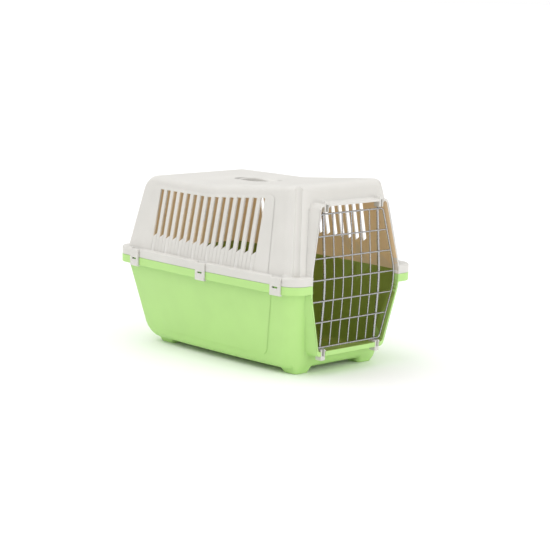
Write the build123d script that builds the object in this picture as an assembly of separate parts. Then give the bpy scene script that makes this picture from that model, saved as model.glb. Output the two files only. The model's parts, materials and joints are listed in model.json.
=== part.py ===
from build123d import *
import os
from math import asin, atan, cos, degrees, radians, sin, sqrt

# A hard plastic carrier for a small pet. X is the width, Y the length, Z is up.
# The door faces -Y and the four moulded feet stand on Z = 0. Sizes are in millimetres.

# Overall size
FLANGE_HALF_WIDTH = 160.0      # parting flange at mid length, where it is widest
FLANGE_HALF_LENGTH = 240.0
PARTING_Z = 165.0              # the upper shell sits on the lower one here
FLOOR_Z = 9.5                  # underside of the lower shell, above the feet
REAR_ROOF_Z = 314.0            # level part of the roof
FRONT_ROOF_RISE = 19.0         # climb of the roof towards the door
ROOF_FRONT_SETBACK = 40.0      # end of the climb, behind the flange's front end
ROOF_BEND_Y = 12.0             # where the roof starts to climb
WALL = 2.0                     # moulded wall of both shells

# Walls
FLANGE_OVERHANG = 12.6         # flange beyond the wall
SIDE_BOW = 9.0                 # bulge of the long sides at mid length
UPPER_SIDE_LEAN = 0.20         # inward millimetres per millimetre of height
UPPER_END_LEAN = 0.18
LOWER_LEAN = 0.21
FRONT_CORNER_RADIUS = 32.0     # upright corners beside the door, also the flange's
EDGE_RADIUS = 14.0             # roof edges and upright rear corners
BOTTOM_EDGE_RADIUS = 16.0
REAR_TOP_RADIUS = 34.0
REAR_BOTTOM_RADIUS = 40.0
ROOF_BEND_RADIUS = 120.0
CORNER_GROOVE_WIDTH = 11.0     # hollow down each front corner of the upper shell
CORNER_GROOVE_DEPTH = 2.6
CORNER_GROOVE_ANGLE = 50.0     # from the side towards the front

# Flange of the upper shell over the rim of the lower one
FLANGE_HEIGHT = 15.5
RIM_HEIGHT = 14.5
SKIRT_GAP = 0.5                # shadow line between flange and rim
FLANGE_EDGE_RADIUS = 3.0
RIM_EDGE_RADIUS = 1.2

# Raised side panels and their vents. A setback is measured from the flange's front or rear end.
PANEL_HEIGHT = 1.2
UPPER_PANEL_FRONT_SETBACK = 87.0
LOWER_PANEL_FRONT_SETBACK = 64.0
PANEL_REAR_SETBACK = 72.0
PANEL_CORNER_RADIUS = 12.0
UPPER_PANEL_BELOW_ROOF = 15.0
UPPER_PANEL_SLANT = 0.1        # its ends, per millimetre of height
LOWER_PANEL_ABOVE_FLOOR = 22.0
LOWER_PANEL_SLANT = 0.28
VENT_FRONT_SETBACK = 114.3
VENT_REAR_SETBACK = 96.0       # room kept behind the last vent
VENT_PITCH = 19.2
VENT_WIDTH = 10.4
VENT_ABOVE_LEDGE = 25.8
VENT_BELOW_ROOF = 21.4
VENT_POINT = 7.0               # slanted foot of a vent
GROOVE_WIDTH = 0.9             # two fine lines from each vent down to the flange
GROOVE_DEPTH = 0.6

# Door opening and the collar round it
OPENING_BELOW_ROOF = 16.5      # top edge, below the level part of the roof
OPENING_TOP_MARGIN = 79.7      # margins are from the flange's side to the opening
OPENING_KINK_BELOW_PARTING = 3.0    # the opening and the door are widest here
OPENING_KINK_MARGIN = 49.0
OPENING_ABOVE_FLOOR = 35.2
OPENING_BOTTOM_MARGIN = 80.2
OPENING_KINK_RADIUS = 130.0
OPENING_CORNER_RADIUS = 6.0
COLLAR_SIDE = 2.6              # collar face beside the opening
COLLAR_TOP = 3.4               # and above it
COLLAR_BOTTOM = 7.5            # and below it
COLLAR_FLARE = 5.0             # extra where the collar leaves the front wall
COLLAR_LEAN = 0.077            # collar face, backward per millimetre from the parting
COLLAR_ROOT_SETBACK = 40.0

# Feet
FOOT_INNER_X = 63.0
FOOT_OUTER_X = 96.0
FRONT_FOOT_SETBACKS = (49.0, 82.0)    # front and rear end of the sole
REAR_FOOT_SETBACKS = (101.0, 65.0)
FOOT_FLARE = 11.5              # extra where the foot meets the upright walls
FOOT_RADIUS = 8.0
FOOT_SOLE_RADIUS = 3.0

# Clips that hold the flange and the rim together
CLIP_FRONT_SETBACK = 42.0
CLIP_MIDDLE_Y = -10.0
CLIP_REAR_SETBACK = 58.5
CLIP_WIDTH = 24.0
CLIP_PLATE = 2.8
CLIP_GAP = 0.6                 # between the clip's plate and the flange
CLIP_BARREL_RADIUS = 2.8
CLIP_PIN_RADIUS = 1.5
CLIP_PIN_CLEARANCE = 0.08
CLIP_PIN_LENGTH = 2.2
CLIP_PIVOT_IN = 2.8            # pivot line behind the flange's face
CLIP_PIVOT_DOWN = 3.8          # pivot line below the ledge
CLIP_HOOK_REACH = 2.0          # hook under the rim
CLIP_HOOK_HEIGHT = 2.0
CLIP_HOOK_GAP = 0.35
CLIP_SIDE_GAP = 0.6
CLIP_TOP_RADIUS = 2.2
CLIP_EDGE_RADIUS = 1.2
NOTCH_DEPTH = 6.4
NOTCH_HEIGHT = 8.4
CLIP_SLOT_WIDTH = 12.0         # slot through the clip and the rim behind it
CLIP_SLOT_HEIGHT = 3.2
CLIP_SLOT_BELOW_PARTING = 2.6

# Wire door. The side wires, rods and uprights all fold forward at the opening's widest height.
DOOR_FRAME_WIRE = 3.0
DOOR_CROSS_WIRE = 2.6
DOOR_UPRIGHT_WIRE = 2.4
DOOR_ROD = 4.6
DOOR_FACE_SETBACK = 6.8        # corner of the fold, at the frame wire's centre
DOOR_FOLD_DEPTH = 9.0          # top and bottom wires behind the fold
DOOR_FOLD_RADIUS = 450.0
DOOR_TOP_GAP = 13.5            # from the opening's edges to the frame wire's centre
DOOR_BOTTOM_GAP = 6.3
DOOR_TOP_SIDE_GAP = 2.8
DOOR_KINK_SIDE_GAP = 4.7       # corner of the side wires' bend, before rounding
DOOR_BOTTOM_SIDE_GAP = 1.3
DOOR_KINK_RADIUS = 130.0
DOOR_CORNER_RADIUS = 7.0
DOOR_CROSS_COUNT = 5
DOOR_CROSS_PITCH = 37.4
CROSS_RISE = 3.6               # middle cross wire above the frame's middle
DOOR_ROD_INSIDE = 9.7          # rods inside the frame's upper corners
DOOR_ROD_BEND_RADIUS = 12.0
DOOR_UPRIGHT_COUNT = 5
WELD_GAP = 0.02
ROD_ABOVE_OPENING = 3.0
ROD_BELOW_OPENING = 8.2

# Keepers: sockets that hold the ends of the two rods
KEEPER_WIDTH = 10.6
KEEPER_DEPTH = 10.0            # round the rod, without the part in front of it
KEEPER_TOP_INSIDE = 10.0       # how far the top keepers hang into the opening
KEEPER_TOP_OUTSIDE = 9.0
KEEPER_BOTTOM_INSIDE = 3.8
KEEPER_BOTTOM_OUTSIDE = 15.7
KEEPER_BORE_CLEARANCE = 0.08
KEEPER_MOUTH_CLEARANCE = 0.35  # wide mouth, which lets the rod out
KEEPER_SNAP = 0.4              # narrow mouth, which holds the rod
KEEPER_FIT = 0.1
KEEPER_RADIUS = 2.0
KEEPER_RIM = 1.2               # shoulder that rests on the collar
KEEPER_RIM_HEIGHT = 2.0

# Lift-up handle in its well
WELL_LENGTH = 112.0
WELL_WIDTH = 34.0
WELL_DEPTH = 9.0
WELL_RADIUS = 15.0
WELL_Y = 17.0                  # middle of the well and the handle
HANDLE_LENGTH = 92.0
HANDLE_WIDTH = 23.0
HANDLE_THICKNESS = 6.5
HANDLE_REST_GAP = 0.3          # under the grip's rear end, which rests on the well's floor
HANDLE_CREST_RISE = 15.0       # highest point of the grip above the well's floor
HANDLE_CREST_FORWARD = -3.0    # crest ahead of the grip's middle
HANDLE_FRONT_RISE = 11.5       # top of the grip at its front end
HANDLE_EDGE_RADIUS = 2.5
HANDLE_TRAVEL = 22.0
LEG_SPACING = 78.0
LEG_LENGTH = 8.0
LEG_WIDTH = 15.0
LEG_CLEARANCE = 0.35
STOP_HEIGHT = 3.0
STOP_OVERLAP = 3.0

front_roof_z = REAR_ROOF_Z + FRONT_ROOF_RISE
roof_slope = FRONT_ROOF_RISE / (ROOF_BEND_Y + FLANGE_HALF_LENGTH - ROOF_FRONT_SETBACK)
ledge_z = PARTING_Z + FLANGE_HEIGHT
rim_bottom_z = PARTING_Z - RIM_HEIGHT
wall_half_width = FLANGE_HALF_WIDTH - FLANGE_OVERHANG
wall_half_length = FLANGE_HALF_LENGTH - FLANGE_OVERHANG
bow_radius = (FLANGE_HALF_LENGTH**2 + SIDE_BOW**2) / (2 * SIDE_BOW)
opening_top_z = REAR_ROOF_Z - OPENING_BELOW_ROOF
opening_kink_z = PARTING_Z - OPENING_KINK_BELOW_PARTING
opening_bottom_z = FLOOR_Z + OPENING_ABOVE_FLOOR
opening_top_half = FLANGE_HALF_WIDTH - OPENING_TOP_MARGIN
opening_kink_half = FLANGE_HALF_WIDTH - OPENING_KINK_MARGIN
opening_bottom_half = FLANGE_HALF_WIDTH - OPENING_BOTTOM_MARGIN
collar_root_y = COLLAR_ROOT_SETBACK - FLANGE_HALF_LENGTH
door_face_y = DOOR_FACE_SETBACK - FLANGE_HALF_LENGTH
door_top_z = opening_top_z - DOOR_TOP_GAP
door_bottom_z = opening_bottom_z + DOOR_BOTTOM_GAP
door_top_half = opening_top_half - DOOR_TOP_SIDE_GAP
door_kink_half = opening_kink_half - DOOR_KINK_SIDE_GAP
door_bottom_half = opening_bottom_half - DOOR_BOTTOM_SIDE_GAP
door_rod_x = door_top_half - DOOR_ROD_INSIDE
rod_top_z = opening_top_z + ROD_ABOVE_OPENING
rod_bottom_z = opening_bottom_z - ROD_BELOW_OPENING
well_floor_z = REAR_ROOF_Z - WELL_DEPTH
cross_middle_z = (door_top_z + door_bottom_z) / 2
vent_run = 2 * FLANGE_HALF_LENGTH - VENT_FRONT_SETBACK - VENT_REAR_SETBACK
vent_count = 1 + int(vent_run / VENT_PITCH)
FAR = 400.0                    # clear of everything, for cutting shapes
PAST = 40.0                    # how far a wall runs on before it is trimmed
SHARP_TURN = 8.0               # degrees between faces that meet in an edge


def roof_z(y):
    return REAR_ROOF_Z + max(0.0, ROOF_BEND_Y - y) * roof_slope


def side_x(half_width, y):
    """Half width at y of a bowed side that is half_width wide at mid length."""
    return half_width - bow_radius + sqrt(bow_radius**2 - y**2)


def plan_face(z, half_width, front_y, rear_y, front_radius, rear_radius=0.0):
    """Outline seen from above, with bowed long sides and straight ends."""
    front_x = side_x(half_width, front_y)
    rear_x = side_x(half_width, rear_y)
    with BuildSketch() as sketch:
        with BuildLine():
            Line((-front_x, front_y), (front_x, front_y))
            ThreePointArc((front_x, front_y), (half_width, 0), (rear_x, rear_y))
            Line((rear_x, rear_y), (-rear_x, rear_y))
            ThreePointArc((-rear_x, rear_y), (-half_width, 0), (-front_x, front_y))
        make_face()
        fillet(sketch.vertices().sort_by(Axis.Y)[:2], front_radius)
        if rear_radius:
            fillet(sketch.vertices().sort_by(Axis.Y)[-2:], rear_radius)
    return Pos(0, 0, z) * sketch.sketch.faces()[0]


def flange_plate(low, high, inset=0.0):
    """Plate between two heights with the outline of the parting flange."""
    front_radius = FRONT_CORNER_RADIUS - inset
    rear_radius = EDGE_RADIUS + FLANGE_OVERHANG - inset
    half_length = FLANGE_HALF_LENGTH - inset
    half_width = FLANGE_HALF_WIDTH - inset
    outline = plan_face(low, half_width, -half_length, half_length, front_radius, rear_radius)
    return extrude(outline, high - low)


def across(points, rounded=None):
    """Solid with a side view of (Y, Z) points, carried across the whole width."""
    with BuildSketch() as sketch:
        with BuildLine():
            Polyline(*points, close=True)
        make_face()
        for index, radius in (rounded or {}).items():
            corner = sketch.vertices().sort_by_distance(Vector(*points[index]))[0]
            fillet(corner, radius)
    return extrude(Plane.YZ * sketch.sketch, amount=FAR, both=True)


def sharp_edges(solid, above=-FAR, below=FAR):
    """Edges between two heights where the faces meet at an angle."""
    found = []
    faces = solid.faces()
    for edge in solid.edges():
        middle = edge @ 0.5
        sides = [f for f in faces if any(e.is_same(edge) for e in f.edges())]
        if not above < middle.Z < below or len(sides) != 2:
            continue
        turn = sides[0].normal_at(middle).get_angle(sides[1].normal_at(middle))
        if turn > SHARP_TURN:
            found.append(edge)
    return found


def leaning_walls(low, high, start_z, lean_side, lean_end, inset, direction):
    """Solid between the side and front walls, which lean inward away from start_z."""
    outlines = []
    for z in (low, high):
        away = (z - start_z) * direction
        half_width = wall_half_width - away * lean_side - inset
        front_y = -(wall_half_length - away * lean_end - inset)
        radius = FRONT_CORNER_RADIUS - inset
        outlines.append(plan_face(z, half_width, front_y, wall_half_length + 2 * PAST, radius))
    return loft(outlines, ruled=True)


def upper_hull(inset):
    """Space inside the upper shell's outer face, moved inward by inset."""
    low = PARTING_Z - PAST / 2
    walls = leaning_walls(low, front_roof_z + PAST, ledge_z, UPPER_SIDE_LEAN, UPPER_END_LEAN, inset, 1)

    def rear(z):
        return wall_half_length - (z - ledge_z) * UPPER_END_LEAN - inset

    top = REAR_ROOF_Z - inset
    points = [
        (-FAR, low - 1),
        (-FAR, roof_z(-FAR) - inset),
        (ROOF_BEND_Y, top),
        (rear(top), top),
        (rear(low - 1), low - 1),
    ]
    body = walls & across(points, {3: REAR_TOP_RADIUS - inset, 2: ROOF_BEND_RADIUS})
    return fillet(sharp_edges(body, above=low + 1), EDGE_RADIUS - inset)


def lower_walls(inset):
    """Space between the lower shell's walls, moved inward by inset and carried on below the floor."""
    high = PARTING_Z + PAST / 2
    return leaning_walls(FLOOR_Z - PAST, high, rim_bottom_z, LOWER_LEAN, LOWER_LEAN, inset, -1)


def lower_hull(inset):
    """Space inside the lower shell's outer face, moved inward by inset."""
    high = PARTING_Z + PAST / 2

    def rear(z):
        return wall_half_length - (rim_bottom_z - z) * LOWER_LEAN - inset

    bottom = FLOOR_Z + inset
    points = [
        (-FAR, high + 1),
        (-FAR, bottom),
        (rear(bottom), bottom),
        (rear(high + 1), high + 1),
    ]
    body = lower_walls(inset) & across(points, {2: REAR_BOTTOM_RADIUS - inset})
    return fillet(sharp_edges(body, below=high - 1), BOTTOM_EDGE_RADIUS - inset)


def slab(low, high):
    """Everything between two heights."""
    return Pos(0, 0, (low + high) / 2) * Box(2 * FAR, 2 * FAR, high - low)


def collar_face_y(z):
    """Front face of the collar, which leans back above and below the parting."""
    return -FLANGE_HALF_LENGTH + abs(z - PARTING_Z) * COLLAR_LEAN


def opening_outline(y, side=0.0, above=0.0, below=0.0):
    """Door opening seen from the front, widened by side and heightened by above and below."""
    upper = (opening_kink_half - opening_top_half) / (opening_top_z - opening_kink_z)
    lower = (opening_kink_half - opening_bottom_half) / (opening_kink_z - opening_bottom_z)
    top_half = opening_top_half + side - above * upper
    bottom_half = opening_bottom_half + side - below * lower
    kink_half = opening_kink_half + side
    top_z = opening_top_z + above
    bottom_z = opening_bottom_z - below
    corner_radius = OPENING_CORNER_RADIUS + side
    with BuildSketch() as sketch:
        with BuildLine():
            Polyline(
                (-top_half, top_z),
                (top_half, top_z),
                (kink_half, opening_kink_z),
                (bottom_half, bottom_z),
                (-bottom_half, bottom_z),
                (-kink_half, opening_kink_z),
                close=True,
            )
        make_face()
        by_height = sketch.vertices().sort_by(Axis.Y)
        fillet(by_height[2:4], OPENING_KINK_RADIUS + side)
        by_height = sketch.vertices().sort_by(Axis.Y)
        fillet(by_height[:2] + by_height[-2:], corner_radius)
    return Pos(0, y, 0) * (Plane.XZ * sketch.sketch.faces()[0])


def doorway():
    """The opening's outline carried through the collar and the front wall."""
    front_y = -FLANGE_HALF_LENGTH - FLANGE_OVERHANG
    rear_y = collar_root_y + FRONT_CORNER_RADIUS
    return extrude(opening_outline(rear_y), rear_y - front_y, dir=(0, -1, 0))


def collar():
    """Flared frame round the door opening, solid as far as the opening's middle."""
    flare = COLLAR_FLARE / 2
    front = opening_outline(-FLANGE_HALF_LENGTH - 2 * WALL, COLLAR_SIDE, COLLAR_TOP, COLLAR_BOTTOM)
    root = opening_outline(
        collar_root_y, COLLAR_SIDE + COLLAR_FLARE, COLLAR_TOP + flare, COLLAR_BOTTOM + flare
    )
    flared = loft([front, root], ruled=True)
    points = [
        (FAR, front_roof_z),
        (collar_face_y(front_roof_z), front_roof_z),
        (collar_face_y(PARTING_Z), PARTING_Z),
        (collar_face_y(0), 0),
        (FAR, 0),
    ]
    return flared & across(points)


panel_rear_y = FLANGE_HALF_LENGTH - PANEL_REAR_SETBACK


def upper_panel():
    """Side view of the raised field round the vents."""
    front_y = UPPER_PANEL_FRONT_SETBACK - FLANGE_HALF_LENGTH
    slant = (REAR_ROOF_Z - ledge_z) * UPPER_PANEL_SLANT
    points = [
        (front_y - slant, ledge_z - WALL),
        (front_y, roof_z(front_y) - UPPER_PANEL_BELOW_ROOF),
        (ROOF_BEND_Y, REAR_ROOF_Z - UPPER_PANEL_BELOW_ROOF),
        (panel_rear_y, REAR_ROOF_Z - UPPER_PANEL_BELOW_ROOF),
        (panel_rear_y + slant, ledge_z - WALL),
    ]
    return across(points, {1: PANEL_CORNER_RADIUS, 3: PANEL_CORNER_RADIUS})


def lower_panel():
    """Side view of the raised field below the rim."""
    front_y = LOWER_PANEL_FRONT_SETBACK - FLANGE_HALF_LENGTH
    top = rim_bottom_z + WALL
    bottom = FLOOR_Z + LOWER_PANEL_ABOVE_FLOOR
    slant = (top - bottom) * LOWER_PANEL_SLANT
    points = [
        (front_y, top),
        (front_y + slant, bottom),
        (panel_rear_y - slant, bottom),
        (panel_rear_y, top),
    ]
    return across(points, {1: PANEL_CORNER_RADIUS, 2: PANEL_CORNER_RADIUS})


vent_rows = [VENT_FRONT_SETBACK - FLANGE_HALF_LENGTH + i * VENT_PITCH for i in range(vent_count)]
vent_bottom_z = ledge_z + VENT_ABOVE_LEDGE


def vents():
    """Slots with a slanted foot, to be cut through both long sides."""
    half = VENT_WIDTH / 2
    slots = []
    for y in vent_rows:
        top = roof_z(y) - VENT_BELOW_ROOF
        points = [
            (y - half, top),
            (y + half, top),
            (y + half, vent_bottom_z),
            (y - half, vent_bottom_z + VENT_POINT),
        ]
        slots.append(across(points))
    return slots


def vent_grooves():
    """Fine lines on the raised fields, from both edges of each vent down to the flange."""
    lean = degrees(atan(UPPER_SIDE_LEAN))
    lines = []
    for edge, top_z in ((-VENT_WIDTH / 2, vent_bottom_z + VENT_POINT), (VENT_WIDTH / 2, vent_bottom_z)):
        middle_z = (ledge_z + top_z) / 2
        half_width = wall_half_width + PANEL_HEIGHT - (middle_z - ledge_z) * UPPER_SIDE_LEAN
        line = Box(2 * GROOVE_DEPTH, GROOVE_WIDTH, top_z - ledge_z)
        for y in vent_rows:
            for side in (-1, 1):
                place = Pos(side * side_x(half_width, y + edge), y + edge, middle_z)
                lines.append(place * Rot(0, -side * lean, 0) * line)
    return lines


def corner_bars(grow=0.0):
    """Round bars in front of the hollows down both front corners, thickened by grow."""
    radius = (CORNER_GROOVE_WIDTH**2 / 4 + CORNER_GROOVE_DEPTH**2) / (2 * CORNER_GROOVE_DEPTH)
    out = FRONT_CORNER_RADIUS + radius - CORNER_GROOVE_DEPTH
    angle = radians(CORNER_GROOVE_ANGLE)
    ends = []
    for z in (ledge_z, front_roof_z):
        front_y = -(wall_half_length - (z - ledge_z) * UPPER_END_LEAN)
        half_width = wall_half_width - (z - ledge_z) * UPPER_SIDE_LEAN
        corner_x = side_x(half_width, front_y) - FRONT_CORNER_RADIUS
        corner_y = front_y + FRONT_CORNER_RADIUS
        ends.append(Vector(corner_x + out * cos(angle), corner_y - out * sin(angle), z))
    axis = ends[1] - ends[0]
    bar = Solid.make_cylinder(radius + grow, axis.length, Plane(ends[0], z_dir=axis))
    return [bar, mirror(bar, Plane.YZ)]


def clip_place(side, y):
    """Place on the flange's face, with x outward and y along the flange."""
    turn = degrees(asin(y / bow_radius))
    return Pos(side * side_x(FLANGE_HALF_WIDTH, y), y, 0) * Rot(0, 0, turn if side > 0 else 180 - turn)


clip_pivot_z = ledge_z - CLIP_PIVOT_DOWN
clip_places = {}
clip_rows = {
    "rear": FLANGE_HALF_LENGTH - CLIP_REAR_SETBACK,
    "middle": CLIP_MIDDLE_Y,
    "front": CLIP_FRONT_SETBACK - FLANGE_HALF_LENGTH,
}
for side, name in ((-1, "left"), (1, "right")):
    for row, y in clip_rows.items():
        clip_places[f"clip_{name}_{row}"] = clip_place(side, y)


def clip_slot():
    """Slot through a clip and the rim behind it."""
    slot = Box(FLANGE_OVERHANG, CLIP_SLOT_WIDTH, CLIP_SLOT_HEIGHT)
    return Pos(0, 0, PARTING_Z - CLIP_SLOT_BELOW_PARTING) * slot


def clip_notch():
    """Pocket in the flange for a clip's barrel, with holes for its two pins."""
    width = CLIP_WIDTH + 2 * CLIP_SIDE_GAP
    pocket = Box(2 * NOTCH_DEPTH, width, 2 * NOTCH_HEIGHT)
    hole = Cylinder(CLIP_PIN_RADIUS + CLIP_PIN_CLEARANCE, width + 2 * CLIP_PIN_LENGTH)
    return Pos(0, 0, ledge_z) * pocket + Pos(-CLIP_PIVOT_IN, 0, clip_pivot_z) * Rot(90, 0, 0) * hole


def clip_boss():
    """Block behind the flange's face that carries a clip's pins."""
    width = CLIP_WIDTH + 2 * CLIP_SIDE_GAP + 2 * CLIP_PIN_LENGTH + 2 * WALL
    depth = NOTCH_DEPTH + WALL
    height = NOTCH_HEIGHT + WALL
    return Pos(-depth / 2 - WALL / 2, 0, ledge_z - height / 2 - WALL / 2) * Box(depth, width, height)


def clip():
    """Clip with a barrel and two pins at the top and a hook under the rim."""
    outer = CLIP_GAP + CLIP_PLATE
    top = clip_pivot_z + CLIP_BARREL_RADIUS
    hook_top = rim_bottom_z - CLIP_HOOK_GAP
    bottom = hook_top - CLIP_HOOK_HEIGHT
    points = [
        (-CLIP_PIVOT_IN, top),
        (outer, top),
        (outer, bottom),
        (-CLIP_HOOK_REACH, bottom),
        (-CLIP_HOOK_REACH, hook_top),
        (CLIP_GAP, hook_top),
        (CLIP_GAP, clip_pivot_z - CLIP_BARREL_RADIUS),
        (-CLIP_PIVOT_IN, clip_pivot_z - CLIP_BARREL_RADIUS),
    ]
    with BuildSketch() as sketch:
        with BuildLine():
            Polyline(*points, close=True)
        make_face()
        for index, radius in ((1, CLIP_TOP_RADIUS), (2, CLIP_EDGE_RADIUS)):
            corner = sketch.vertices().sort_by_distance(Vector(*points[index]))[0]
            fillet(corner, radius)
    body = extrude(Plane.XZ * sketch.sketch, amount=CLIP_WIDTH / 2, both=True)
    barrel = Cylinder(CLIP_BARREL_RADIUS, CLIP_WIDTH)
    pin = Cylinder(CLIP_PIN_RADIUS, CLIP_WIDTH + 2 * CLIP_PIN_LENGTH)
    turned = Pos(-CLIP_PIVOT_IN, 0, clip_pivot_z) * Rot(90, 0, 0)
    return body + turned * barrel + turned * pin - clip_slot()


def fold_share(z, reach):
    """How far along the rounded fold a height lies, from 0 at its low end to 1 at its high end."""
    return min(1.0, max(0.0, (z - opening_kink_z + reach) / (2 * reach)))


def folded(z, top, kink, bottom, reach):
    """Value at a height on a line that runs top, kink, bottom, rounded over reach at the kink."""
    if z > opening_kink_z + reach:
        return kink + (top - kink) * (z - opening_kink_z) / (door_top_z - opening_kink_z)
    if z < opening_kink_z - reach:
        return kink + (bottom - kink) * (opening_kink_z - z) / (opening_kink_z - door_bottom_z)
    share = fold_share(z, reach)
    high = (top - kink) * reach / (door_top_z - opening_kink_z)
    low = (bottom - kink) * reach / (opening_kink_z - door_bottom_z)
    return kink + high * share**2 + low * (1 - share)**2


def wire(points, diameter, radii, close=False):
    """Round wire through the points, with its corners bent to the radii."""
    path = FilletPolyline(*points, radius=radii, close=close)
    section = Plane(path @ 0, z_dir=path % 0) * Circle(diameter / 2)
    return sweep(section, path=path).solids()[0]


def folded_wire(x, layer, diameter, above=0.0, below=0.0):
    """Upright wire in its own layer, folded like the frame and straight beyond its ends."""
    back_y = door_face_y + layer + DOOR_FOLD_DEPTH
    points = [
        (x, back_y, door_top_z),
        (x, door_face_y + layer, opening_kink_z),
        (x, back_y, door_bottom_z),
    ]
    radii = [DOOR_FOLD_RADIUS]
    if above:
        points = [(x, back_y, above)] + points + [(x, back_y, below)]
        radii = [DOOR_ROD_BEND_RADIUS, DOOR_FOLD_RADIUS, DOOR_ROD_BEND_RADIUS]
    return wire(points, diameter, radii)


fold_reach = DOOR_FOLD_RADIUS * DOOR_FOLD_DEPTH / (door_top_z - door_bottom_z) * 2
rod_layer = DOOR_FRAME_WIRE / 2 + DOOR_ROD / 2 + WELD_GAP
upright_layer = DOOR_FRAME_WIRE / 2 + DOOR_UPRIGHT_WIRE / 2 + WELD_GAP
journal_y = door_face_y + DOOR_FOLD_DEPTH + rod_layer


def door_frame():
    """Closed outline wire of the door."""
    back_y = door_face_y + DOOR_FOLD_DEPTH
    points = [
        (-door_top_half, back_y, door_top_z),
        (door_top_half, back_y, door_top_z),
        (door_kink_half, door_face_y, opening_kink_z),
        (door_bottom_half, back_y, door_bottom_z),
        (-door_bottom_half, back_y, door_bottom_z),
        (-door_kink_half, door_face_y, opening_kink_z),
    ]
    corner = DOOR_CORNER_RADIUS
    radii = [corner, corner, DOOR_KINK_RADIUS, corner, corner, DOOR_KINK_RADIUS]
    return wire(points, DOOR_FRAME_WIRE, radii, close=True)


def cross_wire(z):
    """Level wire between the two side wires of the frame."""
    half = folded(z, door_top_half, door_kink_half, door_bottom_half, fold_reach)
    y = folded(z, DOOR_FOLD_DEPTH, 0, DOOR_FOLD_DEPTH, fold_reach) + door_face_y
    slant = (door_kink_half - door_bottom_half) / (opening_kink_z - door_bottom_z)
    weld = DOOR_FRAME_WIRE / 2 * sqrt(1 + slant**2) + DOOR_CROSS_WIRE / 2 * slant + WELD_GAP
    length = 2 * (half - weld)
    return Pos(0, y, z) * Rot(0, 90, 0) * Cylinder(DOOR_CROSS_WIRE / 2, length)


def keeper_levels(upper):
    """Heights of a keeper: its two ends and the far end of its bore."""
    if upper:
        return opening_top_z - KEEPER_TOP_INSIDE, opening_top_z + KEEPER_TOP_OUTSIDE, rod_top_z + KEEPER_FIT
    low = opening_bottom_z - KEEPER_BOTTOM_OUTSIDE
    return low, opening_bottom_z + KEEPER_BOTTOM_INSIDE, rod_bottom_z - KEEPER_FIT


def keeper_block(front_y, low, high, grow=0.0):
    """Upright block round the line on which the rods turn."""
    depth = journal_y + KEEPER_DEPTH / 2 + grow - front_y
    block = Box(KEEPER_WIDTH + 2 * grow, depth, high - low)
    return Pos(0, front_y + depth / 2, (low + high) / 2) * block


def keeper(upper, mouth_half):
    """Keeper with a bore for a rod's end and a mouth towards the front."""
    low, high, end = keeper_levels(upper)
    front_y = collar_face_y((low + high) / 2)
    block = keeper_block(front_y, low, high)
    block = fillet(block.edges().filter_by(Axis.Z), KEEPER_RADIUS)
    seat_z = opening_top_z if upper else opening_bottom_z
    shoulder_z = seat_z - KEEPER_RIM_HEIGHT if upper else seat_z + KEEPER_RIM_HEIGHT
    block = block + keeper_block(front_y, *sorted((seat_z, shoulder_z)), grow=KEEPER_RIM)
    mouth_end = low - 1 if upper else high + 1
    height = abs(mouth_end - end)
    middle = Pos(0, journal_y, (mouth_end + end) / 2)
    bore = middle * Cylinder(DOOR_ROD / 2 + KEEPER_BORE_CLEARANCE, height)
    mouth = middle * Pos(0, -KEEPER_DEPTH, 0) * Box(2 * mouth_half, 2 * KEEPER_DEPTH, height)
    return block - bore - mouth


def keeper_pockets(upper):
    """Notches in the collar for two keepers."""
    far_z = front_roof_z - EDGE_RADIUS if upper else FLOOR_Z + EDGE_RADIUS
    near_z = opening_top_z - COLLAR_TOP if upper else opening_bottom_z + COLLAR_BOTTOM
    notch = keeper_block(-FLANGE_HALF_LENGTH, *sorted((near_z, far_z)), grow=KEEPER_FIT)
    return [Pos(side * door_rod_x, 0, 0) * notch for side in (-1, 1)]


def well_block(low, high, grow=0.0):
    """Upright block with the outline of the handle's well, widened by grow."""
    outline = RectangleRounded(WELL_WIDTH + 2 * grow, WELL_LENGTH + 2 * grow, WELL_RADIUS + grow)
    return Pos(0, WELL_Y, low) * extrude(outline, high - low)


handle_rear_z = well_floor_z + HANDLE_REST_GAP + HANDLE_THICKNESS
handle_front_z = well_floor_z + HANDLE_FRONT_RISE
handle_crest_z = well_floor_z + HANDLE_CREST_RISE
handle_crest_y = WELL_Y - HANDLE_CREST_FORWARD
leg_rows = (WELL_Y - LEG_SPACING / 2, WELL_Y + LEG_SPACING / 2)


def handle():
    """Arched grip on two legs that slide through the well's floor and end in barbs."""
    front_y = WELL_Y - HANDLE_LENGTH / 2
    rear_y = WELL_Y + HANDLE_LENGTH / 2
    drop = HANDLE_THICKNESS
    with BuildSketch() as sketch:
        with BuildLine():
            ThreePointArc(
                (front_y, handle_front_z),
                (handle_crest_y, handle_crest_z),
                (rear_y, handle_rear_z),
            )
            Line((rear_y, handle_rear_z), (rear_y, handle_rear_z - drop))
            ThreePointArc(
                (rear_y, handle_rear_z - drop),
                (handle_crest_y, handle_crest_z - drop),
                (front_y, handle_front_z - drop),
            )
            Line((front_y, handle_front_z - drop), (front_y, handle_front_z))
        make_face()
    grip = extrude(Plane.YZ * sketch.sketch, amount=HANDLE_WIDTH / 2, both=True)
    grip = fillet(grip.edges().filter_by(Axis.Z), HANDLE_EDGE_RADIUS * 2)
    grip = fillet(grip.faces().sort_by(Axis.Z)[-1].edges(), HANDLE_EDGE_RADIUS)
    stop_top = well_floor_z - WALL - HANDLE_TRAVEL
    bottom = stop_top - STOP_HEIGHT
    top = handle_crest_z - drop
    body = grip
    for y in leg_rows:
        leg = Pos(0, y, (bottom + top) / 2) * Box(LEG_WIDTH, LEG_LENGTH, top - bottom)
        barb = Box(LEG_WIDTH, LEG_LENGTH + 2 * STOP_OVERLAP, STOP_HEIGHT)
        barb = Pos(0, y, stop_top - STOP_HEIGHT / 2) * barb
        body = body + leg + barb
    return body


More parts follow.
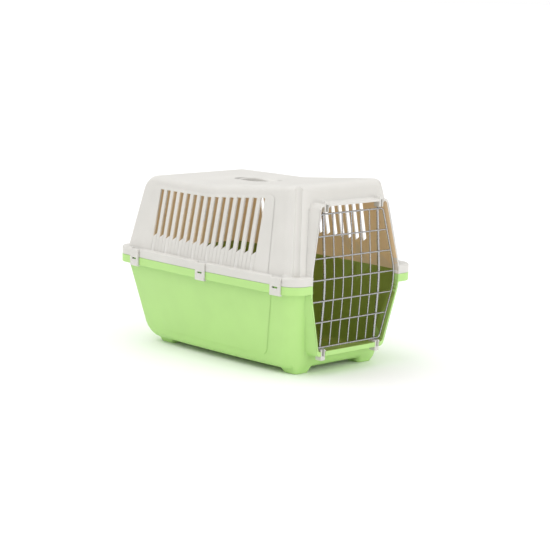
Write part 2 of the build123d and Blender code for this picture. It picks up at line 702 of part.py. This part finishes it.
def leg_slots():
    """Slots in the well's floor for the handle's legs."""
    slot = Box(LEG_WIDTH + 2 * LEG_CLEARANCE, LEG_LENGTH + 2 * LEG_CLEARANCE, 4 * WALL)
    return [Pos(0, y, well_floor_z - WALL / 2) * slot for y in leg_rows]


def upper_shell():
    """Upper shell: roof, vented walls, flange and the upper half of the collar."""
    outer = upper_hull(0)
    inner = upper_hull(WALL)
    flange = flange_plate(PARTING_Z + SKIRT_GAP, ledge_z)
    flange = fillet(flange.faces().sort_by(Axis.Z)[-1].edges(), FLANGE_EDGE_RADIUS)
    channel = flange_plate(PARTING_Z - 1, ledge_z - WALL, WALL)
    bosses = [place * clip_boss() for place in clip_places.values()]
    above = slab(PARTING_Z, FAR)
    panel = (upper_hull(-PANEL_HEIGHT) & upper_panel()) - upper_hull(WALL / 2)
    well = well_block(well_floor_z - WALL, front_roof_z, WALL) & outer
    body = (flange - channel) + [boss & flange for boss in bosses]
    body = body + (outer & above) + (collar() & above) + panel - inner
    body = body + well + [bar & outer for bar in corner_bars(WALL)]
    cuts = [doorway()] + keeper_pockets(True) + vents() + vent_grooves()
    cuts = cuts + corner_bars() + [place * clip_notch() for place in clip_places.values()]
    cuts = cuts + [well_block(well_floor_z, FAR)] + leg_slots()
    return body - cuts


def foot(front_y, rear_y, walls):
    """Two moulded feet that widen upward and stay within the shell's walls."""
    outlines = []
    for z, grow in ((0, 0), (FLOOR_Z + BOTTOM_EDGE_RADIUS, FOOT_FLARE)):
        size = (FOOT_OUTER_X - FOOT_INNER_X + 2 * grow, rear_y - front_y + 2 * grow)
        outline = RectangleRounded(*size, FOOT_RADIUS)
        outlines.append(Pos((FOOT_INNER_X + FOOT_OUTER_X) / 2, (front_y + rear_y) / 2, z) * outline)
    block = loft(outlines, ruled=True)
    block = fillet(block.faces().sort_by(Axis.Z)[0].edges(), FOOT_SOLE_RADIUS) & walls
    return [block, mirror(block, Plane.YZ)]


def lower_shell():
    """Lower shell: tray, rim, feet and the lower half of the collar."""
    outer = lower_hull(0)
    inner = lower_hull(WALL)
    rim = flange_plate(rim_bottom_z, PARTING_Z)
    rim = fillet(rim.faces().sort_by(Axis.Z)[0].edges(), RIM_EDGE_RADIUS)
    channel = flange_plate(rim_bottom_z - 1, PARTING_Z - WALL, WALL)
    below = slab(-FAR, PARTING_Z)
    panel = (lower_hull(-PANEL_HEIGHT) & lower_panel()) - lower_hull(WALL / 2)
    body = (rim - channel) + (outer & below) + (collar() & below) + panel
    front_foot = [setback - FLANGE_HALF_LENGTH for setback in FRONT_FOOT_SETBACKS]
    rear_foot = [FLANGE_HALF_LENGTH - setback for setback in REAR_FOOT_SETBACKS]
    body = body + foot(*front_foot, lower_walls(0)) + foot(*rear_foot, lower_walls(0)) - inner
    cuts = [doorway()] + keeper_pockets(False) + [place * clip_slot() for place in clip_places.values()]
    return body - cuts


pieces = {
    "upper_shell": upper_shell(),
    "lower_shell": lower_shell(),
    "handle": handle(),
    "door_frame": door_frame(),
}
for number in range(1, DOOR_CROSS_COUNT + 1):
    z = cross_middle_z + ((DOOR_CROSS_COUNT + 1) / 2 - number) * DOOR_CROSS_PITCH + CROSS_RISE
    pieces[f"door_cross_{number}"] = cross_wire(z)
upright_pitch = 2 * door_rod_x / (DOOR_UPRIGHT_COUNT + 1)
for number in range(1, DOOR_UPRIGHT_COUNT + 1):
    x = -door_rod_x + number * upright_pitch
    pieces[f"door_upright_{number}"] = folded_wire(x, upright_layer, DOOR_UPRIGHT_WIRE)
snap_half = DOOR_ROD / 2 - KEEPER_SNAP
free_half = DOOR_ROD / 2 + KEEPER_MOUTH_CLEARANCE
for name, x, mouth_half in (("left", -door_rod_x, free_half), ("right", door_rod_x, snap_half)):
    pieces[f"door_rod_{name}"] = folded_wire(x, rod_layer, DOOR_ROD, rod_top_z, rod_bottom_z)
    pieces[f"keeper_{name}_upper"] = Pos(x, 0, 0) * keeper(True, mouth_half)
    pieces[f"keeper_{name}_lower"] = Pos(x, 0, 0) * keeper(False, mouth_half)
for name, place in clip_places.items():
    pieces[name] = place * clip()

os.makedirs("parts", exist_ok=True)
for name, piece in pieces.items():
    export_step(piece, f"parts/{name}.step")
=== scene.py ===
import json
import math

import bpy
from bpy.props import FloatProperty, FloatVectorProperty, PointerProperty
from mathutils import Matrix, Vector
from mathutils.bvhtree import BVHTree

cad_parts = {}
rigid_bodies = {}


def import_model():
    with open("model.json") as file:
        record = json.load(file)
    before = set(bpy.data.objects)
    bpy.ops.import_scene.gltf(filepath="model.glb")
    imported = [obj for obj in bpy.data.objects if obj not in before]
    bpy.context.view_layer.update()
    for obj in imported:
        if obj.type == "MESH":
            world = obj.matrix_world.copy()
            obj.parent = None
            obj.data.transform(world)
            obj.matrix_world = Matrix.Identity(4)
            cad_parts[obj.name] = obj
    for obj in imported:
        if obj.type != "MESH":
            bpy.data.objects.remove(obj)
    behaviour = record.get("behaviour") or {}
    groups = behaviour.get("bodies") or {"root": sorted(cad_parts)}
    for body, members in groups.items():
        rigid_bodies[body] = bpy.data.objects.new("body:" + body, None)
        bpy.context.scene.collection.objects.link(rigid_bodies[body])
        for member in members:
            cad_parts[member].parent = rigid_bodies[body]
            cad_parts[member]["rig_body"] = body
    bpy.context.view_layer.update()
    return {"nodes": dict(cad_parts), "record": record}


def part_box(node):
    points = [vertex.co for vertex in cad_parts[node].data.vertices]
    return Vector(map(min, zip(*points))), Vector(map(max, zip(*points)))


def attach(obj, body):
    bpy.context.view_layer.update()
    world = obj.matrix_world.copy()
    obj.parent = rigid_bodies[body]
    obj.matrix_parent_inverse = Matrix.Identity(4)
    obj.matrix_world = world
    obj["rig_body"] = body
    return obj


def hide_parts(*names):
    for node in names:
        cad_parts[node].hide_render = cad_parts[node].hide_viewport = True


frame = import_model()

bl_info = {
    "name": "Pet carrier",
    "version": (1, 0, 0),
    "blender": (4, 5, 0),
    "location": "3D View > Sidebar > Carrier",
    "description": "Finishes the plastic and wire of a pet carrier and sets up its studio",
    "category": "Object",
}

MM = 0.001
CREAM = "polypropylene_cream_moulded"
GREEN = "polypropylene_green_moulded"
STEEL = "steel_wire_zinc_plated"
FINISHES = {"cream_plastic": CREAM, "green_plastic": GREEN, "door_wire": STEEL}

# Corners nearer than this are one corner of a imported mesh.
MERGE_WITHIN = MM / 500
# Edges that turn by more than this stay sharp, on the mouldings and on the wires.
SHARP_MOULDING = 28
SHARP_WIRE = 50

# Share of a face's view that the cabin takes where its painted inner shade and painted light start, and where
# they are full.
CABIN_SHARE_FROM = 0.35
CABIN_SHARE_FULL = 0.65
# Way off a face before its view is searched, so that it doesn't meet itself.
OFF_THE_FACE = MM / 5
# Directions searched round a face's normal.
SIDE_WAYS = 6

POLYPROPYLENE_IOR = 1.49
DRAW_MARKS = 7 * MM
BEAD_SHAPE = (1.15, 0.8, 1.15)

KEY_FROM = (-0.35, 0.3, 1.0)
FILL_FROM = (0.15, -1.0, 0.3)
LAMP_REACH = 3

CAMERA_AT = (-2.0869, -2.2291, 0.6621)
CAMERA_AHEAD = (0.6790, 0.7145, -0.1683)
CAMERA_RIGHT = (0.7274, -0.6858, 0.0233)
FILM_WIDTH = 36


def srgb(code):
    """Linear colour of an sRGB hex code."""
    values = [int(code[i:i + 2], 16) / 255 for i in (0, 2, 4)]
    return tuple(v / 12.92 if v <= 0.04045 else ((v + 0.055) / 1.055) ** 2.4 for v in values)


def colour(label, text, code):
    """Colour setting with an sRGB hex default."""
    return FloatVectorProperty(
        name=label, description=text, subtype="COLOR", size=3, min=0, max=1, default=srgb(code)
    )


def length(label, text, millimetres):
    """Length setting with a default in millimetres."""
    return FloatProperty(
        name=label, description=text, subtype="DISTANCE", unit="LENGTH", min=0, default=millimetres * MM
    )


class CarrierPlastic(bpy.types.PropertyGroup):
    """Colours and surface of the moulded pieces"""

    cream: colour("Cream", "Outside of the upper shell, the clips, the handle and the keepers", "D6D4CF")
    # Painted shade: on both shells, faces that look into the cabin get these darker, warmer colours in place of
    # the shade and bounced light there. The same colours are also the painted light those faces emit.
    cream_painted_inner_light: colour("Cream inside", "Inner faces of the upper shell, seen against the light", "D9BD97")
    green: colour("Green", "Outside of the lower shell", "B5DF88")
    green_painted_inner_light: colour("Green inside", "Inner faces of the lower shell, seen against the light", "8FA84C")
    # Painted light: faces that look into the cabin emit their inner colour at this strength, though the plastic
    # is no lamp. This stands in for the daylight that comes through the thin wall.
    cream_painted_glow: FloatProperty(
        name="Cream glow", description="Daylight that soaks through the upper shell",
        min=0, max=1, default=0.2,
    )
    green_painted_glow: FloatProperty(
        name="Green glow", description="Daylight that soaks through the lower shell",
        min=0, max=1, default=0.0,
    )
    roughness: FloatProperty(
        name="Roughness", description="Roughness of the moulded faces", subtype="FACTOR",
        min=0, max=1, default=0.45,
    )
    # The real grain is about 0.2 mm, too fine to show, so it is drawn coarser.
    grain: length("Grain", "Size of the spark-eroded grain of the mould", 1.6)
    grain_depth: length("Grain depth", "Height of the grain", 0.05)
    flow: length("Flow marks", "Size of the faint clouds that the melt leaves", 60)
    # Used to mark the faces that get the painted inner shade and painted light.
    reveal: length("Reveal", "Nearest wall that counts as the far side of the cabin", 60)


class CarrierWire(bpy.types.PropertyGroup):
    """Plating and welds of the door"""

    steel: colour("Steel", "Bright plated wire", "B8B8BB")
    roughness: FloatProperty(
        name="Roughness", description="Roughness of the plating", subtype="FACTOR",
        min=0, max=1, default=0.24,
    )
    bead: length("Weld bead", "Radius of a weld between two wires", 1.5)


class CarrierStudio(bpy.types.PropertyGroup):
    """Floor, light and lens"""

    floor: colour("Floor", "Pale studio floor", "FCFCFC")
    sky: FloatProperty(name="Sky", description="Strength of the light from all round", min=0, default=1.0)
    sky_high: colour("Sky above", "Colour of the light from above", "FFFFFF")
    sky_low: colour("Sky below", "Colour of the light from the walls of the room", "9E978C")
    sky_rise: FloatProperty(
        name="Sky rise", description="Height at which the upper light is full", min=0.03, max=1, default=0.35
    )
    key: FloatProperty(name="Key", description="Strength of the soft light from above", min=0, default=0.7)
    key_spread: FloatProperty(
        name="Key spread", description="Width of the soft light", subtype="ANGLE",
        min=0, default=math.radians(50),
    )
    fill: FloatProperty(name="Fill", description="Strength of the low light from the front", min=0, default=0.6)
    fill_spread: FloatProperty(
        name="Fill spread", description="Width of the low light", subtype="ANGLE",
        min=0, default=math.radians(40),
    )
    lens: FloatProperty(
        name="Lens", description="Focal length of the camera", subtype="DISTANCE_CAMERA", default=109.88
    )
    floor_size: FloatProperty(name="Floor size", description="Side of the floor", unit="LENGTH", default=400)


def select_only(*objects):
    """Selects these objects and nothing else, and makes the first one active."""
    bpy.ops.object.select_all(action="DESELECT")
    for item in objects:
        item.select_set(True)
    bpy.context.view_layer.objects.active = objects[0]


def add_node(tree, kind, inputs=None, **settings):
    """Adds a node, sets it up, and fills its inputs with values or links."""
    node = tree.nodes.new(kind)
    for name, value in settings.items():
        setattr(node, name, value)
    for socket, value in (inputs or {}).items():
        if isinstance(value, bpy.types.NodeSocket):
            tree.links.new(value, node.inputs[socket])
        else:
            node.inputs[socket].default_value = value
    return node


def new_material(name):
    """Empty node material, its tree and its output node."""
    material = bpy.data.materials.new(name)
    material.use_nodes = True
    material.node_tree.nodes.clear()
    output = add_node(material.node_tree, "ShaderNodeOutputMaterial")
    return material, material.node_tree, output


def moulded_plastic(name, outside, painted_inner_light, painted_glow, settings):
    """Injection moulded polypropylene.

    It has a soft sheen over a fine spark-eroded grain and faint clouds where the melt flowed. Faces that look
    into the cabin get a painted shade: a darker, warmer colour in place of the light that bounces between the
    coloured walls. They also emit a painted light in place of the daylight that comes through the thin wall.
    """
    material, tree, output = new_material(name)
    coords = add_node(tree, "ShaderNodeTexCoord").outputs["Object"]
    # Painted shade and painted light: how far each face looks into the cabin, read from the mesh's face values.
    inner = add_node(tree, "ShaderNodeAttribute", attribute_name="painted_inner_light").outputs["Fac"]
    base = add_node(
        tree, "ShaderNodeMix", {0: inner, 6: (*outside, 1), 7: (*painted_inner_light, 1)}, data_type="RGBA"
    ).outputs[2]
    clouds = add_node(
        tree, "ShaderNodeTexNoise", {"Vector": coords, "Scale": 1 / settings.flow, "Detail": 2.0}
    ).outputs["Fac"]
    shade = add_node(
        tree,
        "ShaderNodeMapRange",
        {"Value": clouds, "From Min": 0.3, "From Max": 0.7, "To Min": 0.97, "To Max": 1.02},
    ).outputs["Result"]
    shaded = add_node(
        tree, "ShaderNodeMix", {0: 1.0, 6: base, 7: shade}, data_type="RGBA", blend_type="MULTIPLY"
    ).outputs[2]
    grain = add_node(
        tree,
        "ShaderNodeTexNoise",
        {"Vector": coords, "Scale": 1 / settings.grain, "Detail": 3.0, "Roughness": 0.6},
    ).outputs["Fac"]
    rough = add_node(
        tree,
        "ShaderNodeMapRange",
        {"Value": clouds, "To Min": settings.roughness - 0.05, "To Max": settings.roughness + 0.07},
    ).outputs["Result"]
    bump = add_node(
        tree, "ShaderNodeBump", {"Height": grain, "Strength": 0.35, "Distance": settings.grain_depth}
    ).outputs["Normal"]
    # Painted light: faces that look into the cabin emit their inner colour, though the plastic is no lamp.
    painted_glow_strength = add_node(tree, "ShaderNodeMath", {0: inner, 1: painted_glow}, operation="MULTIPLY").outputs["Value"]
    shader = add_node(
        tree,
        "ShaderNodeBsdfPrincipled",
        {
            "Base Color": shaded,
            "Roughness": rough,
            "Normal": bump,
            "IOR": POLYPROPYLENE_IOR,
            # Painted light: the emitted colour is the painted inner shade colour.
            "Emission Color": (*painted_inner_light, 1),
            "Emission Strength": painted_glow_strength,
        },
    )
    tree.links.new(shader.outputs["BSDF"], output.inputs["Surface"])
    return material


def plated_wire(name, settings):
    """Drawn steel wire with bright zinc plating.

    It mirrors the room softly, and faint lengthwise draw marks break up the highlight.
    """
    material, tree, output = new_material(name)
    coords = add_node(tree, "ShaderNodeTexCoord").outputs["Object"]
    spots = add_node(
        tree, "ShaderNodeTexNoise", {"Vector": coords, "Scale": 1 / DRAW_MARKS, "Detail": 3.0}
    ).outputs["Fac"]
    rough = add_node(
        tree,
        "ShaderNodeMapRange",
        {"Value": spots, "To Min": settings.roughness - 0.08, "To Max": settings.roughness + 0.12},
    ).outputs["Result"]
    tone = add_node(
        tree, "ShaderNodeMapRange", {"Value": spots, "To Min": 0.86, "To Max": 1.04}
    ).outputs["Result"]
    base = add_node(
        tree, "ShaderNodeMix", {0: 1.0, 6: (*settings.steel, 1), 7: tone},
        data_type="RGBA", blend_type="MULTIPLY",
    ).outputs[2]
    shader = add_node(
        tree, "ShaderNodeBsdfPrincipled", {"Base Color": base, "Roughness": rough, "Metallic": 1.0}
    )
    tree.links.new(shader.outputs["BSDF"], output.inputs["Surface"])
    return material


def slot_of(node):
    """Material slot that the record gives a CAD node."""
    for row in frame["record"]["subparts"]:
        if row["node"] == node:
            return row["material_slot"]
    raise RuntimeError(f"no material slot for {node}")


def body_of(node):
    """Body that a CAD node rides on."""
    return frame["nodes"][node]["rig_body"]


def smooth_piece(node, name, sharp_angle=SHARP_MOULDING):
    """Copy of a CAD node with its triangles merged and shaded smooth, which stands for the node."""
    source = frame["nodes"][node]
    piece = bpy.data.objects.new(name, source.data.copy())
    bpy.context.scene.collection.objects.link(piece)
    select_only(piece)
    bpy.ops.object.mode_set(mode="EDIT")
    bpy.ops.mesh.select_all(action="SELECT")
    bpy.ops.mesh.remove_doubles(threshold=MERGE_WITHIN)
    bpy.ops.object.mode_set(mode="OBJECT")
    bpy.ops.object.shade_smooth_by_angle(angle=math.radians(sharp_angle))
    weighted = piece.modifiers.new("Even normals", "WEIGHTED_NORMAL")
    weighted.keep_sharp = True
    bpy.ops.object.modifier_apply(modifier=weighted.name)
    dress(piece, node)
    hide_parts(node)
    return piece


def dress(piece, node):
    """Gives a piece the finish of a CAD node and lets it ride on that node's body."""
    slot = slot_of(node)
    piece.data.materials.clear()
    piece.data.materials.append(bpy.data.materials[FINISHES[slot]])
    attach(piece, body_of(node))


def shell_rays():
    """Search tree over the faces of both shells."""
    points, faces = [], []
    for node in ("upper_shell", "lower_shell"):
        mesh = frame["nodes"][node].data
        start = len(points)
        points += [point.co.copy() for point in mesh.vertices]
        faces += [[start + index for index in face.vertices] for face in mesh.polygons]
    return BVHTree.FromPolygons(points, faces)


def ways_from(normal):
    """The normal and a ring of directions that lean 45 degrees away from it."""
    across = normal.orthogonal().normalized()
    along = normal.cross(across)
    ways = [normal]
    for step in range(SIDE_WAYS):
        turn = math.radians(360 / SIDE_WAYS * step + 15)
        ways.append((normal + across * math.cos(turn) + along * math.sin(turn)).normalized())
    return ways


def mark_painted_inner_light(piece):
    """Marks how far each face looks into the cabin, for the plastic's painted inner shade and painted light."""
    rays = shell_rays()
    reveal = bpy.context.scene.carrier_plastic.reveal
    values = []
    for face in piece.data.polygons:
        start = face.center + face.normal * OFF_THE_FACE
        caught = missed = 0
        for way in ways_from(face.normal):
            distance = rays.ray_cast(start, way)[3]
            caught += distance is not None and distance > reveal
            missed += distance is None
        share = caught / max(1, caught + missed)
        value = (share - CABIN_SHARE_FROM) / (CABIN_SHARE_FULL - CABIN_SHARE_FROM)
        values.append(min(1.0, max(0.0, value)))
    piece.data.attributes.new("painted_inner_light", "FLOAT", "FACE").data.foreach_set("value", values)


class CARRIER_OT_finishes(bpy.types.Operator):
    """Make the finishes of the plastic and the wire"""

    bl_idname = "carrier.finishes"
    bl_label = "Finishes"

    def execute(self, context):
        plastic = context.scene.carrier_plastic
        # Each shell's outside colour, its painted inner shade colour and the strength of its painted light.
        cream = (plastic.cream, plastic.cream_painted_inner_light, plastic.cream_painted_glow)
        green = (plastic.green, plastic.green_painted_inner_light, plastic.green_painted_glow)
        moulded_plastic(CREAM, *cream, plastic)
        moulded_plastic(GREEN, *green, plastic)
        plated_wire(STEEL, context.scene.carrier_wire)
        return {"FINISHED"}


class CARRIER_OT_upper_shell(bpy.types.Operator):
    """Finish the vented upper shell"""

    bl_idname = "carrier.upper_shell"
    bl_label = "Upper shell"

    def execute(self, context):
        mark_painted_inner_light(smooth_piece("upper_shell", "upper_shell_moulding"))
        return {"FINISHED"}


class CARRIER_OT_lower_shell(bpy.types.Operator):
    """Finish the lower shell with its feet"""

    bl_idname = "carrier.lower_shell"
    bl_label = "Lower shell"

    def execute(self, context):
        mark_painted_inner_light(smooth_piece("lower_shell", "lower_shell_moulding"))
        return {"FINISHED"}


class CARRIER_OT_clips(bpy.types.Operator):
    """Finish the clips that hold the shells together"""

    bl_idname = "carrier.clips"
    bl_label = "Clips"

    def execute(self, context):
        for node in sorted(frame["nodes"]):
            if node.startswith("clip_"):
                smooth_piece(node, node + "_moulding")
        return {"FINISHED"}


class CARRIER_OT_handle(bpy.types.Operator):
    """Finish the lift-up handle"""

    bl_idname = "carrier.handle"
    bl_label = "Handle"

    def execute(self, context):
        smooth_piece("handle", "handle_moulding")
        return {"FINISHED"}


class CARRIER_OT_keepers(bpy.types.Operator):
    """Finish the sockets that hold the door's rods"""

    bl_idname = "carrier.keepers"
    bl_label = "Keepers"

    def execute(self, context):
        for node in sorted(frame["nodes"]):
            if node.startswith("keeper_"):
                smooth_piece(node, node + "_moulding")
        return {"FINISHED"}


def weld_places():
    """Points where an upright wire touches a level one, a wire's radius from the level one's middle."""
    names = sorted(frame["nodes"])
    low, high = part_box("door_cross_1")
    radius = (high.z - low.z) / 2
    levels = []
    for name in names:
        if name.startswith("door_cross_"):
            low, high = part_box(name)
            levels.append(((low.z + high.z) / 2, high.y))
    low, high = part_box("door_frame")
    levels += [(low.z + radius, high.y), (high.z - radius, high.y)]
    places = []
    for name in names:
        if name.startswith(("door_upright_", "door_rod_")):
            left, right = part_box(name)
            places += [Vector(((left.x + right.x) / 2, y, z)) for z, y in levels]
    return places


class CARRIER_OT_door(bpy.types.Operator):
    """Finish the door's wires and weld them where they cross"""

    bl_idname = "carrier.door"
    bl_label = "Wire door"

    def execute(self, context):
        wire = context.scene.carrier_wire
        for node in sorted(frame["nodes"]):
            if node.startswith("door_"):
                smooth_piece(node, node + "_wire", SHARP_WIRE)
        bpy.ops.object.select_all(action="DESELECT")
        bpy.ops.mesh.primitive_uv_sphere_add(segments=10, ring_count=6, radius=wire.bead)
        bead = context.object
        bpy.ops.transform.resize(value=BEAD_SHAPE)
        bpy.ops.object.transform_apply()
        beads = []
        for place in weld_places():
            copy = bpy.data.objects.new("bead", bead.data.copy())
            copy.data.transform(Matrix.Translation(place))
            context.scene.collection.objects.link(copy)
            beads.append(copy)
        bpy.data.objects.remove(bead)
        select_only(*beads)
        bpy.ops.object.join()
        welds = context.object
        welds.name = "door_weld_beads"
        bpy.ops.object.shade_smooth()
        dress(welds, "door_frame")
        return {"FINISHED"}


class CARRIER_OT_studio(bpy.types.Operator):
    """Set up the floor, the lights and the camera"""

    bl_idname = "carrier.studio"
    bl_label = "Studio"

    def execute(self, context):
        studio = context.scene.carrier_studio
        scene = context.scene
        scene.view_settings.view_transform = "Standard"
        bpy.ops.object.select_all(action="DESELECT")
        bpy.ops.mesh.primitive_plane_add(size=studio.floor_size)
        floor = context.object
        floor.name = "studio_floor"
        # Matt painted board: one pale tone with hardly any sheen.
        material, tree, output = new_material("board_pale_painted")
        shader = add_node(
            tree,
            "ShaderNodeBsdfPrincipled",
            {"Base Color": (*studio.floor, 1), "Roughness": 0.9, "Specular IOR Level": 0.1},
        )
        tree.links.new(shader.outputs["BSDF"], output.inputs["Surface"])
        floor.data.materials.append(material)

        world = bpy.data.worlds.new("studio_sky")
        world.use_nodes = True
        tree = world.node_tree
        # White at the horizon and overhead, with the darker walls of the room between them.
        ways = add_node(tree, "ShaderNodeTexCoord").outputs["Generated"]
        height = add_node(tree, "ShaderNodeSeparateXYZ", {"Vector": ways}).outputs["Z"]
        ramp = add_node(tree, "ShaderNodeValToRGB", {"Fac": height})
        stops = ((0.0, studio.sky_high), (0.02, studio.sky_low), (studio.sky_rise, studio.sky_high))
        for place, tone in stops:
            stop = ramp.color_ramp.elements.new(place)
            stop.color = (*tone, 1)
        ramp.color_ramp.elements.remove(ramp.color_ramp.elements[0])
        ramp.color_ramp.elements.remove(ramp.color_ramp.elements[-1])
        background = tree.nodes["Background"]
        tree.links.new(ramp.outputs["Color"], background.inputs["Color"])
        background.inputs["Strength"].default_value = studio.sky
        scene.world = world

        for name, way, strength, spread in (
            ("key_light", KEY_FROM, studio.key, studio.key_spread),
            ("fill_light", FILL_FROM, studio.fill, studio.fill_spread),
        ):
            bpy.ops.object.light_add(type="SUN", location=Vector(way) * LAMP_REACH)
            lamp = context.object
            lamp.name = name
            lamp.data.energy = strength
            lamp.data.angle = spread
            lamp.rotation_euler = Vector(way).to_track_quat("Z", "Y").to_euler()

        camera = bpy.data.objects.new("camera", bpy.data.cameras.new("camera"))
        scene.collection.objects.link(camera)
        camera.data.sensor_width = FILM_WIDTH
        camera.data.lens = studio.lens
        camera.data.clip_start = 0.05
        camera.data.clip_end = 100
        right = Vector(CAMERA_RIGHT).normalized()
        ahead = Vector(CAMERA_AHEAD).normalized()
        up = right.cross(ahead).normalized()
        turn = Matrix((right, up, -ahead)).transposed()
        camera.matrix_world = Matrix.Translation(CAMERA_AT) @ turn.to_4x4()
        scene.camera = camera
        return {"FINISHED"}


class CARRIER_PT_panel(bpy.types.Panel):
    """Buttons and settings of the pet carrier"""

    bl_idname = "CARRIER_PT_panel"
    bl_label = "Pet carrier"
    bl_space_type = "VIEW_3D"
    bl_region_type = "UI"
    bl_category = "Carrier"

    def draw(self, context):
        for group in GROUPS:
            settings = getattr(context.scene, group)
            box = self.layout.box()
            for name in settings.bl_rna.properties.keys():
                if name not in ("rna_type", "name"):
                    box.prop(settings, name)
        for operator in OPERATORS:
            self.layout.operator(operator.bl_idname)


GROUPS = {
    "carrier_plastic": CarrierPlastic,
    "carrier_wire": CarrierWire,
    "carrier_studio": CarrierStudio,
}
OPERATORS = (
    CARRIER_OT_finishes,
    CARRIER_OT_upper_shell,
    CARRIER_OT_lower_shell,
    CARRIER_OT_clips,
    CARRIER_OT_handle,
    CARRIER_OT_keepers,
    CARRIER_OT_door,
    CARRIER_OT_studio,
)


def register():
    for cls in (*GROUPS.values(), *OPERATORS, CARRIER_PT_panel):
        bpy.utils.register_class(cls)
    for name, cls in GROUPS.items():
        setattr(bpy.types.Scene, name, PointerProperty(type=cls))


def unregister():
    for name in GROUPS:
        delattr(bpy.types.Scene, name)
    for cls in reversed((*GROUPS.values(), *OPERATORS, CARRIER_PT_panel)):
        bpy.utils.unregister_class(cls)


def main():
    register()
    bpy.ops.carrier.finishes()
    bpy.ops.carrier.upper_shell()
    bpy.ops.carrier.lower_shell()
    bpy.ops.carrier.clips()
    bpy.ops.carrier.handle()
    bpy.ops.carrier.keepers()
    bpy.ops.carrier.door()
    bpy.ops.carrier.studio()


if __name__ == "__main__":
    main()
